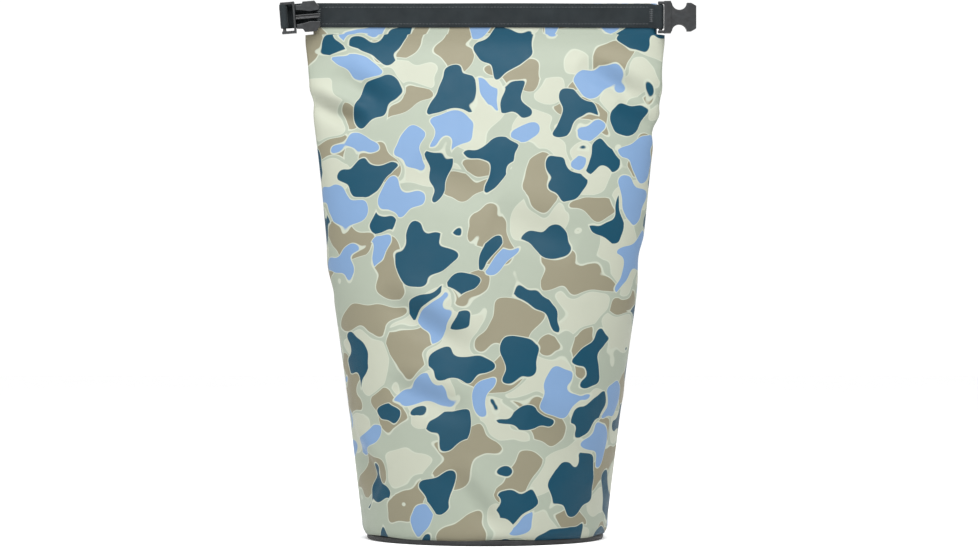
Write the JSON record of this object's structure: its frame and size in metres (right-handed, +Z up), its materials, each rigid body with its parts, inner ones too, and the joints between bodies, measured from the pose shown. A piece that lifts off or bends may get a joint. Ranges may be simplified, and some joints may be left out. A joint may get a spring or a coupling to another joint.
{
  "type": "insulated cooler bag",
  "caption": "Soft roll-top cooler bag: round padded base, walls pressed flat at a webbing-bound mouth, side-release buckle, sling strap behind.",
  "frame": {"origin": "middle of the base, on the floor", "axes": "+Z up, -Y towards the front, +X towards the socket half of the buckle"},
  "size_m": [0.4278, 0.2655, 0.5521],
  "materials": {
    "camo_skin": "smooth semi-matt coated fabric, camouflage print",
    "webbing": "woven webbing",
    "buckle_plastic": "satin moulded",
    "base_fabric": "coated fabric, matt",
    "foam": "closed-cell foam",
    "liner_film": "smooth coated film",
    "pad_mesh": "spacer mesh",
    "stiffener_plastic": "extruded strip",
    "thread": "polyester thread"
  },
  "bodies": {
    "bag": {"outer_shell": "camo_skin", "insulation_wall": "foam", "inner_liner": "liner_film", "base_panel": "base_fabric", "base_binding_ring": "base_fabric", "base_insulation": "foam", "liner_floor": "liner_film", "back_seam_tape": "camo_skin", "upper_strap_patch": "base_fabric", "lower_strap_patch": "base_fabric", "strap_webbing_upper": "webbing", "shoulder_pad": "pad_mesh", "strap_webbing_lower": "webbing", "valve_base": "buckle_plastic"},
    "closure": {"mouth_collar": "camo_skin", "collar_liner": "liner_film", "front_stiffener": "stiffener_plastic", "back_stiffener": "stiffener_plastic", "back_binding": "webbing", "closure_webbing": "webbing", "male_buckle_tab": "webbing", "closure_bartacks": "thread"},
    "socket_half": {"female_buckle": "buckle_plastic"},
    "prong_half": {"male_buckle_frame": "buckle_plastic"},
    "upper_arm": {"male_arm_upper": "buckle_plastic"},
    "lower_arm": {"male_arm_lower": "buckle_plastic"},
    "adjuster": {"strap_adjuster": "buckle_plastic"},
    "cap": {"valve_cap": "buckle_plastic"}
  },
  "joints": [
    {"name": "roll_fold", "type": "hinge", "parent": "bag", "child": "closure", "pos_m": [0, -0.008, 0.5105], "axis": [1, 0, 0], "range_deg": [0, 130]},
    {"name": "socket_swing", "type": "hinge", "parent": "closure", "child": "socket_half", "pos_m": [0.1804, -0.0076, 0.5355], "axis": [0, 0, 1], "range_deg": [-45, 45]},
    {"name": "prong_swing", "type": "hinge", "parent": "closure", "child": "prong_half", "pos_m": [-0.2066, -0.0145, 0.5339], "axis": [0.0785, 0, -0.9969], "range_deg": [0, 180]},
    {"name": "upper_arm_flex", "type": "hinge", "parent": "prong_half", "child": "upper_arm", "pos_m": [-0.1948, -0.0145, 0.54456], "axis": [0, 1, 0], "range_deg": [0, 5], "stiffness_Nm_per_rad": 0.2},
    {"name": "lower_arm_flex", "type": "hinge", "parent": "prong_half", "child": "lower_arm", "pos_m": [-0.19328, -0.0145, 0.52522], "axis": [0, 1, 0], "range_deg": [-5, 0], "stiffness_Nm_per_rad": 0.2},
    {"name": "adjuster_slide", "type": "slide", "parent": "bag", "child": "adjuster", "axis": [0, 0, 1], "range_m": [-0.04, 0.045]},
    {"name": "valve_twist", "type": "hinge", "parent": "bag", "child": "cap", "pos_m": [-0.075, 0.0539, 0.33], "axis": [-0.165, 0.9591, 0.23], "range_deg": [0, 90]}
  ],
  "couplings": [
    {"joint": "lower_arm_flex", "follows": "upper_arm_flex", "ratio": -1}
  ]
}
